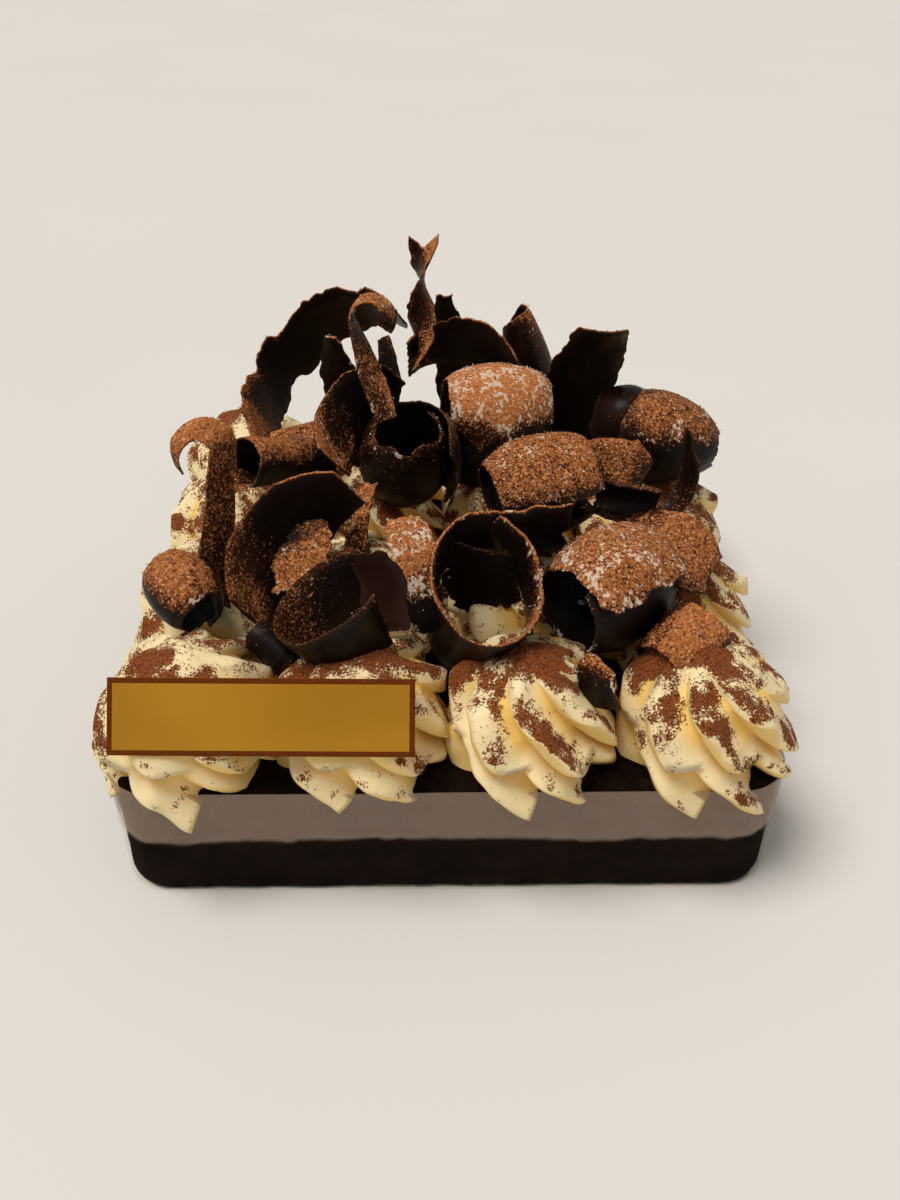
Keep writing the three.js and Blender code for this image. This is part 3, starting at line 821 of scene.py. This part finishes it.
def plaque_patch():
    """A thin card with a printed border; faces on its front are sorted into border and field."""
    at, turn = plaque_axes()
    width, depth, height = PLAQUE_SIZE
    spans = []
    for size, parts in zip((width, height), PLAQUE_PARTS):
        rim = np.array([size / 2 - PLAQUE_RIM, size / 2])
        inner = np.linspace(-size / 2 + PLAQUE_BORDER, size / 2 - PLAQUE_BORDER, parts)
        spans.append(np.concatenate([-rim[::-1], inner, rim]))
    u, v = np.meshgrid(*spans, indexing="ij")
    edge = (np.abs(u) > width / 2 - PLAQUE_RIM / 2) | (np.abs(v) > height / 2 - PLAQUE_RIM / 2)
    bow = PLAQUE_BOW * (1 - (2 * u / width) ** 2)
    front = np.stack([u, np.where(edge, -depth / 2 + PLAQUE_RIM, -depth / 2) - bow, v], -1)
    back = np.stack([u, np.full_like(u, depth / 2) - bow * PLAQUE_BACK_BOW, v], -1)
    rows, columns = u.shape
    count = rows * columns
    points = np.concatenate([front.reshape(-1, 3), back.reshape(-1, 3)]) @ turn.T + at
    faces = grid_quads(rows, columns)
    loop, ahead = grid_rim(rows, columns)
    sides = np.stack([loop, loop + count, ahead + count, ahead], -1)
    quads = np.concatenate([faces, faces[:, ::-1] + count, sides])
    middle = front.reshape(-1, 3)[faces].mean(1)
    field = np.abs(middle[:, 0]) < width / 2 - PLAQUE_BORDER
    field &= np.abs(middle[:, 2]) < height / 2 - PLAQUE_BORDER
    slots = np.concatenate([np.where(field, 0, 1), np.zeros(len(faces) + len(sides))])
    return patch(points, quads), slots


def sky_rays():
    """Straight up, and slanting in from the sides."""
    level, rise = math.sin(SKY_TILT), math.cos(SKY_TILT)
    return [(0, 0, 1), *((level * math.cos(a), level * math.sin(a), rise) for a in SKY_TURNS)]


def settle_dust(patches, blockers):
    """Gives every point of the patches its share of what falls from above."""
    whole = joined([{**p, "attributes": {}} for p in blockers])
    faces = whole["quads"].tolist() + whole["tris"].tolist()
    tree = BVHTree.FromPolygons(whole["points"].tolist(), faces)
    rays = [Vector(ray) for ray in sky_rays()]
    for made in patches:
        normals = made["normals"] = normals_of(made)
        facing = ease(normals[:, 2], *DUST_FACING)
        starts = made["points"] + normals * RAY_LIFT["out"] + np.array([0, 0, RAY_LIFT["up"]])
        share = np.zeros(len(starts))
        for index in np.flatnonzero(facing > 0):
            start = Vector(starts[index])
            share[index] = sum(tree.ray_cast(start, ray)[0] is None for ray in rays) / len(rays)
        made["attributes"]["dust"] = facing * share


def grains_patch(sources, weights, count, sizes, seed):
    """Loose grains lying on the dusted surfaces, more where their weight is larger."""
    draw = np.random.default_rng(seed)
    points = np.concatenate([p["points"] for p in sources])
    normals = np.concatenate([p["normals"] for p in sources])
    chance = np.concatenate(weights)
    picked = draw.choice(len(points), count, p=chance / chance.sum())
    size = draw.uniform(*sizes, count)[:, None]
    scatter = draw.normal(0, GRAIN_SCATTER, (count, 3)) * (1 - np.abs(normals[picked]))
    spots = points[picked] + scatter + normals[picked] * size * GRAIN_LIFT
    corners = len(GRAIN_POINTS)
    shapes = np.array(GRAIN_POINTS, float) * draw.uniform(*GRAIN_STRETCH, (count, corners, 1))
    shapes = shapes + draw.normal(0, GRAIN_BUMPS, (count, corners, 3))
    made = spots[:, None] + shapes * size[..., None] / 2
    tris = np.array(GRAIN_FACES) + corners * np.arange(count)[:, None, None]
    return patch(made, [], tris, tone=np.repeat(draw.uniform(0, 1, count), corners))


class Look:
    """A material with small helpers over its node tree."""

    def __init__(self, name):
        self.material = bpy.data.materials.new(name)
        self.material.use_nodes = True
        self.tree = self.material.node_tree
        self.shader = self.tree.nodes["Principled BSDF"]

    def put(self, socket, value):
        """Links a socket to another one, or sets its value."""
        if isinstance(value, bpy.types.NodeSocket):
            self.tree.links.new(value, socket)
        else:
            socket.default_value = value

    def add(self, kind, inputs, **settings):
        """A new node with its settings and inputs."""
        made = self.tree.nodes.new(kind)
        for key, value in settings.items():
            setattr(made, key, value)
        for key, value in inputs.items():
            self.put(made.inputs[key], value)
        return made

    def value(self, name):
        """A value that the mesh holds for each point."""
        return self.add("ShaderNodeAttribute", {}, attribute_name=name).outputs["Fac"]

    def spot(self):
        """Place on the object, in metres."""
        return self.add("ShaderNodeTexCoord", {}).outputs["Object"]

    def stretched(self, spot, stretch):
        return self.add("ShaderNodeVectorMath", {0: spot, 1: stretch}, operation="MULTIPLY").outputs[0]

    def noise(self, size, detail, stretch=None):
        """Noise from 0 to 1 with lumps about size mm across, closer along axes with a larger stretch."""
        spot = self.spot()
        if stretch:
            spot = self.stretched(spot, stretch)
        inputs = {"Vector": spot, "Scale": 1 / (size * MM), "Detail": detail}
        return self.add("ShaderNodeTexNoise", inputs).outputs["Fac"]

    def maths(self, operation, first, second):
        return self.add("ShaderNodeMath", {0: first, 1: second}, operation=operation).outputs[0]

    def total(self, *terms):
        """The sum of sockets, each times its gain."""
        whole = None
        for socket, gain in terms:
            part = self.maths("MULTIPLY", socket, gain)
            whole = part if whole is None else self.maths("ADD", whole, part)
        return whole

    def step(self, value, low, high, start=0.0, end=1.0):
        """A smooth step from start, where the value is low, to end, where it is high."""
        inputs = {"Value": value, "From Min": low, "From Max": high, "To Min": start, "To Max": end}
        made = self.add("ShaderNodeMapRange", inputs, interpolation_type="SMOOTHSTEP")
        return made.outputs["Result"]

    def mix(self, factor, first, second):
        """A blend of two colours."""
        made = self.add("ShaderNodeMix", {0: factor}, data_type="RGBA")
        for index, colour in ((6, first), (7, second)):
            linked = isinstance(colour, bpy.types.NodeSocket)
            self.put(made.inputs[index], colour if linked else (*colour, 1))
        return made.outputs[2]

    def bump(self, height, distance, strength, under=None):
        """A normal that follows a height of so many mm, over another normal if one is given."""
        inputs = {"Height": height, "Distance": distance * MM, "Strength": strength}
        if under is not None:
            inputs["Normal"] = under
        return self.add("ShaderNodeBump", inputs).outputs["Normal"]

    def finish(self, **inputs):
        """Sets the main shader's inputs, whose names have spaces for underscores."""
        for key, value in inputs.items():
            self.put(self.shader.inputs[key.replace("_", " ")], value)
        return self.material


def cocoa_colour(look, fine, clump, cover):
    """Cocoa powder: reddish brown, paler on loose grains and where it lies thick."""
    depth = look.total((fine, 0.6), (clump, 0.5), (cover, 0.45))
    shade = look.mix(look.step(depth, 0.58, 1.05), COCOA_DARK, COCOA_PALE)
    loose = look.step(look.noise(0.6, 2), 0.56, 0.68, 0.0, 0.7)
    return look.mix(loose, shade, COCOA_GRAIN)


def ribbon_lines(look):
    """Fine lines along a curl's ribbon."""
    inputs = {0: look.value("along"), 1: look.value("across"), 2: 0.0}
    flow = look.add("ShaderNodeCombineXYZ", inputs).outputs[0]
    inputs = {"Vector": look.stretched(flow, LINES_STRETCH), "Scale": 1.0, "Detail": 3.0}
    return look.add("ShaderNodeTexNoise", inputs).outputs["Fac"]


def sugar_flecks(look, dust, rim):
    """Flecks of sugar in clusters, where it falls and along edges."""
    flecks, clusters = look.noise(0.95, 3, stretch=(1, 1, 0.6)), look.noise(5, 2)
    falls = look.step(look.total((dust, 1.0), (rim, 0.4)), 0.1, 0.6)
    sweet = look.maths("MULTIPLY", look.value("sugar"), falls)
    sugar = look.step(look.total((flecks, 1.0), (sweet, 0.16), (clusters, 0.8)), 1.16, 1.25)
    return look.maths("MULTIPLY", sugar, look.step(sweet, 0.05, 0.4, 0.0, 0.8))


def chocolate_look():
    """Dark chocolate with fine lines, under cocoa and flecks of sugar."""
    look = Look("chocolate")
    lines = ribbon_lines(look)
    fine, clump, patches = look.noise(0.55, 2), look.noise(1.3, 3), look.noise(8, 2)
    dust, rim = look.value("dust"), look.value("rim")
    fallen = look.maths("MULTIPLY", dust, look.value("cocoa"))
    cover = look.total((fallen, 0.74), (look.value("cling"), 0.85), (rim, 0.06))
    depth = look.total((cover, 1.0), (fine, 1.3), (clump, 0.45), (patches, 0.4), (lines, 0.35))
    cocoa = look.step(depth, 1.6, 1.8)
    sugar = sugar_flecks(look, dust, rim)
    plain = look.mix(look.step(lines, 0.3, 0.7), CHOCOLATE_DARK, CHOCOLATE_PALE)
    plain = look.mix(look.value("tone"), plain, CHOCOLATE_RED)
    plain = look.mix(look.maths("MULTIPLY", rim, 0.25), plain, CHOCOLATE_EDGE)
    plain = look.mix(look.step(cover, 0.12, 0.66, 0.0, 0.8), plain, COCOA_DARK)
    colour = look.mix(cocoa, plain, cocoa_colour(look, fine, clump, cover))
    colour = look.mix(sugar, colour, SUGAR)
    powder = look.maths("MAXIMUM", cocoa, sugar)
    rough = look.step(powder, 0, 1, 0.38, 0.95)
    grain = look.maths("MULTIPLY", look.total((fine, 0.6), (clump, 0.4)), powder)
    normal = look.bump(lines, 0.07, 0.6)
    normal = look.bump(grain, 0.5, 0.75, normal)
    return look.finish(Base_Color=colour, Roughness=rough, Normal=normal, Specular_IOR_Level=0.13)


def cream_look():
    """Whipped cream with cocoa sifted over it in patches, and painted shade: a deeper yellow in its folds
    and where it faces down or is hidden from above.
    """
    look = Look("cream")
    fine, clump, patches = look.noise(0.5, 2), look.noise(2.2, 4), look.noise(9, 2)
    dust, scoop = look.value("dust"), look.value("scoop")
    cover = look.total((dust, 0.36), (clump, 0.5), (patches, 1.3), (fine, 0.6), (scoop, -0.1))
    cocoa = look.step(cover, 1.42, 1.56)
    # Painted shade: valleys, and faces that little dust reaches because they face down or lie hidden from
    # above, are given a deeper yellow.
    deep = look.maths("MAXIMUM", look.step(scoop, 0.2, 1.0), look.step(dust, 0.0, 0.4, 0.75, 0.0))
    plain = look.mix(deep, CREAM, CREAM_PAINTED_SHADE)
    grains = look.step(look.noise(0.4, 1), 0.3, 0.65)
    colour = look.mix(cocoa, plain, look.mix(grains, CREAM_COCOA_DARK, CREAM_COCOA_PALE))
    rough = look.step(cocoa, 0, 1, 0.42, 0.95)
    normal = look.bump(look.noise(2.2, 2), 0.25, 0.35)
    normal = look.bump(look.maths("MULTIPLY", fine, cocoa), 0.4, 0.7, normal)
    return look.finish(
        Base_Color=colour, Roughness=rough, Normal=normal, Specular_IOR_Level=0.3,
        Subsurface_Weight=0.18, Subsurface_Radius=(1.0, 0.72, 0.42), Subsurface_Scale=0.0035,
    )


def sponge_look():
    """Dark, dull crumb."""
    look = Look("sponge")
    fine, clump, broad = look.noise(0.7, 3), look.noise(2.1, 4), look.noise(14, 2, stretch=(1, 1, 2.4))
    crumb = look.total((fine, 0.45), (clump, 0.4), (broad, 0.15))
    colour = look.mix(look.step(crumb, 0.36, 0.66), SPONGE_DARK, SPONGE_PALE)
    normal = look.bump(crumb, 1.1, 0.9)
    return look.finish(Base_Color=colour, Roughness=0.9, Normal=normal, Specular_IOR_Level=0.05)


def film_look():
    """Clear film: glossy, with a painted reflection over its upper band: greyish brown and shinier above a
    ragged line, clear below.
    """
    look = Look("film")
    height = look.add("ShaderNodeSeparateXYZ", {0: look.spot()}).outputs["Z"]
    wander = look.noise(26, 3, stretch=(1, 1, 0.25))
    ragged_line = look.noise(3.2, 3, stretch=(1, 1, 0.6))
    streaks = look.noise(5, 3, stretch=(0.25, 0.25, 1.6))
    level = look.total((height, 1 / MM), (wander, 6.0), (ragged_line, 2.6))
    # Painted reflection: above this ragged line the film is given a greyish brown colour, standing in for
    # a pale surface mirrored in it; below it stays clear over the dark sponge.
    painted_reflection_band = look.step(level, 20.9, 23.1)
    smears = look.step(streaks, 0.56, 0.76)
    painted_reflection_and_smears = look.total((painted_reflection_band, 0.17), (look.maths("MULTIPLY", painted_reflection_band, streaks), 0.25), (smears, 0.01))
    clear = look.add("ShaderNodeBsdfTransparent", {"Color": FILM_CLEAR}).outputs[0]
    look.finish(Base_Color=FILM_PAINTED_REFLECTION, Roughness=0.3, Specular_IOR_Level=0.2)
    inputs = {0: painted_reflection_and_smears, 1: clear, 2: look.shader.outputs[0]}
    veil = look.add("ShaderNodeMixShader", inputs).outputs[0]
    shine = look.add("ShaderNodeBsdfGlossy", {"Color": FILM_SHINE, "Roughness": 0.07}).outputs[0]
    edge = look.add("ShaderNodeFresnel", {"IOR": 1.42}).outputs[0]
    # The glossy shine is also made stronger over the painted reflection band.
    gloss = look.maths("MULTIPLY", edge, look.total((painted_reflection_band, 0.25), (streaks, 0.006)))
    whole = look.add("ShaderNodeMixShader", {0: gloss, 1: veil, 2: shine}).outputs[0]
    look.put(look.tree.nodes["Material Output"].inputs["Surface"], whole)
    return look.material


def gold_look():
    """Gold print, satin, with broad patches of painted sheen in its colour."""
    look = Look("plaque_gold")
    painted_sheen_and_satin, fine = look.noise(26, 2, stretch=(0.6, 1, 1)), look.noise(0.35, 1)
    # Painted sheen: broad patches of the gold are painted brighter; the same patches vary its roughness
    colour = look.mix(look.step(painted_sheen_and_satin, 0.3, 0.7), GOLD_DEEP, GOLD_PAINTED_SHEEN)
    rough = look.step(look.total((painted_sheen_and_satin, 0.7), (fine, 0.3)), 0.3, 0.7, 0.34, 0.46)
    normal = look.bump(fine, 0.02, 0.3)
    return look.finish(
        Base_Color=colour, Roughness=rough, Normal=normal, Metallic=0.5, Specular_IOR_Level=0.15,
    )


def border_look():
    """Brown printed border."""
    look = Look("plaque_border")
    fine = look.noise(0.5, 2)
    colour = look.mix(look.step(fine, 0.3, 0.7), BORDER_DARK, BORDER_PALE)
    normal = look.bump(fine, 0.02, 0.25)
    return look.finish(Base_Color=colour, Roughness=0.6, Normal=normal, Specular_IOR_Level=0.05)


def grain_look(name, dark, pale):
    """Loose grains, each with its own tone between dark and pale."""
    look = Look(name)
    colour = look.mix(look.value("tone"), dark, pale)
    normal = look.bump(look.noise(0.12, 1), 0.05, 0.6)
    return look.finish(Base_Color=colour, Roughness=0.93, Normal=normal, Specular_IOR_Level=0.2)


def floor_look():
    """A pale floor with hardly any pattern."""
    look = Look("floor")
    colour = look.mix(look.noise(180, 3), FLOOR_DARK, FLOOR_PALE)
    return look.finish(Base_Color=colour, Roughness=0.62, Specular_IOR_Level=0.3)


def add_grains(dusted):
    """Loose cocoa and sugar, most where most of it falls."""
    falls = [p["attributes"]["dust"] ** 2 for p in dusted]
    sugars = [p["attributes"].get("sugar", np.full(len(p["points"]), CREAM_SUGAR)) for p in dusted]
    sweet = [fall * sugar ** 2 for fall, sugar in zip(falls, sugars)]
    cocoa = grains_patch(dusted, falls, **COCOA_GRAINS)
    make_piece("cocoa_grains", cocoa, [grain_look("cocoa_grain", COCOA_DARK, COCOA_PALE)])
    sugar = grains_patch(dusted, sweet, **SUGAR_GRAINS)
    make_piece("sugar_grains", sugar, [grain_look("sugar_grain", SUGAR_GRAIN_DARK, SUGAR_GRAIN_PALE)])


def build_cake():
    """All the pieces of the cake."""
    chocolate, cream = chocolate_look(), cream_look()
    curls = {
        name: curl_patch(settings, CURL_SEEDS["first"] + CURL_SEEDS["step"] * k)
        for k, (name, settings) in enumerate(CURLS.items())
    }
    spots = itertools.product(range(ROSETTES_A_SIDE), repeat=2)
    rosettes = {spot: rosette_patch(*spot) for spot in spots}
    sponge, film = sponge_patch(), film_patch()
    plaque, plaque_slots = plaque_patch()
    dusted = [*curls.values(), *rosettes.values()]
    settle_dust(curls.values(), [*dusted, sponge, plaque])
    settle_dust(rosettes.values(), [*rosettes.values(), sponge, plaque])
    for group, starts in CURL_GROUPS.items():
        members = [name for start in starts for name in CURLS if name.startswith(start + "_")]
        made = joined([curls[name] for name in members])
        nodes = [f"curl_{name}" for name in members]
        make_piece(group, made, [chocolate], nodes, sharp=CREASES["curl"])
    for row in range(ROSETTES_A_SIDE):
        made = joined([rosettes[row, column] for column in range(ROSETTES_A_SIDE)])
        nodes = [f"cream_r{row + 1}c{column + 1}" for column in range(ROSETTES_A_SIDE)]
        make_piece(f"cream_row_{row + 1}", made, [cream], nodes)
    make_piece("sponge_block", sponge, [sponge_look()], ["sponge"])
    make_piece("film_sheet", film, [film_look()], ["film_band"], sharp=CREASES["film"])
    make_piece(
        "plaque_card", plaque, [gold_look(), border_look()], ["plaque"],
        sharp=CREASES["plaque"], face_slots=plaque_slots,
    )
    add_grains(dusted)


def build_floor():
    mesh = bpy.data.meshes.new("floor")
    signs = ((-1, -1), (1, -1), (1, 1), (-1, 1))
    corners = [(FLOOR_REACH * across, FLOOR_REACH * along, 0) for across, along in signs]
    mesh.from_pydata(corners, [], [(0, 1, 2, 3)])
    mesh.materials.append(floor_look())
    floor = bpy.data.objects.new("floor", mesh)
    bpy.context.scene.collection.objects.link(floor)


def build_light():
    """An even sky, and one broad soft sun that lights the whole floor alike."""
    world = bpy.data.worlds.new("studio")
    world.use_nodes = True
    sky = world.node_tree.nodes["Background"]
    sky.inputs["Color"].default_value = SKY_COLOUR
    sky.inputs["Strength"].default_value = SKY_STRENGTH
    bpy.context.scene.world = world
    lamp = bpy.data.lights.new("key", "SUN")
    lamp.angle = math.radians(SUN_SPREAD)
    lamp.energy = SUN_POWER
    lamp.color = SUN_COLOUR
    sun = bpy.data.objects.new("key", lamp)
    sun.location = SUN_PLACE
    sun.rotation_euler = (-Vector(SUN_PLACE)).to_track_quat("-Z", "Y").to_euler()
    bpy.context.scene.collection.objects.link(sun)


def build_camera():
    """The photographer's view: pitch looks down, yaw turns to the right, roll tips the head."""
    pitch, yaw, roll = (math.radians(a) for a in (CAMERA_PITCH, CAMERA_YAW, CAMERA_ROLL))
    level = math.cos(pitch)
    ahead = Vector((math.sin(yaw) * level, math.cos(yaw) * level, -math.sin(pitch)))
    right = Vector((math.cos(yaw), -math.sin(yaw), 0))
    down = ahead.cross(right)
    across = right * math.cos(roll) + down * math.sin(roll)
    below = down * math.cos(roll) - right * math.sin(roll)
    data = bpy.data.cameras.new("camera")
    data.lens = CAMERA_LENS
    data.sensor_width = CAMERA_SENSOR
    data.clip_start, data.clip_end = CAMERA_CLIP
    camera = bpy.data.objects.new("camera", data)
    camera.matrix_world = Matrix((across, -below, -ahead)).transposed().to_4x4()
    camera.location = Vector(CAMERA_AT) * MM
    bpy.context.scene.collection.objects.link(camera)
    bpy.context.scene.camera = camera


build_cake()
build_floor()
build_light()
build_camera()
bpy.context.scene.view_settings.view_transform = "Standard"
bpy.context.scene.view_settings.look = "None"
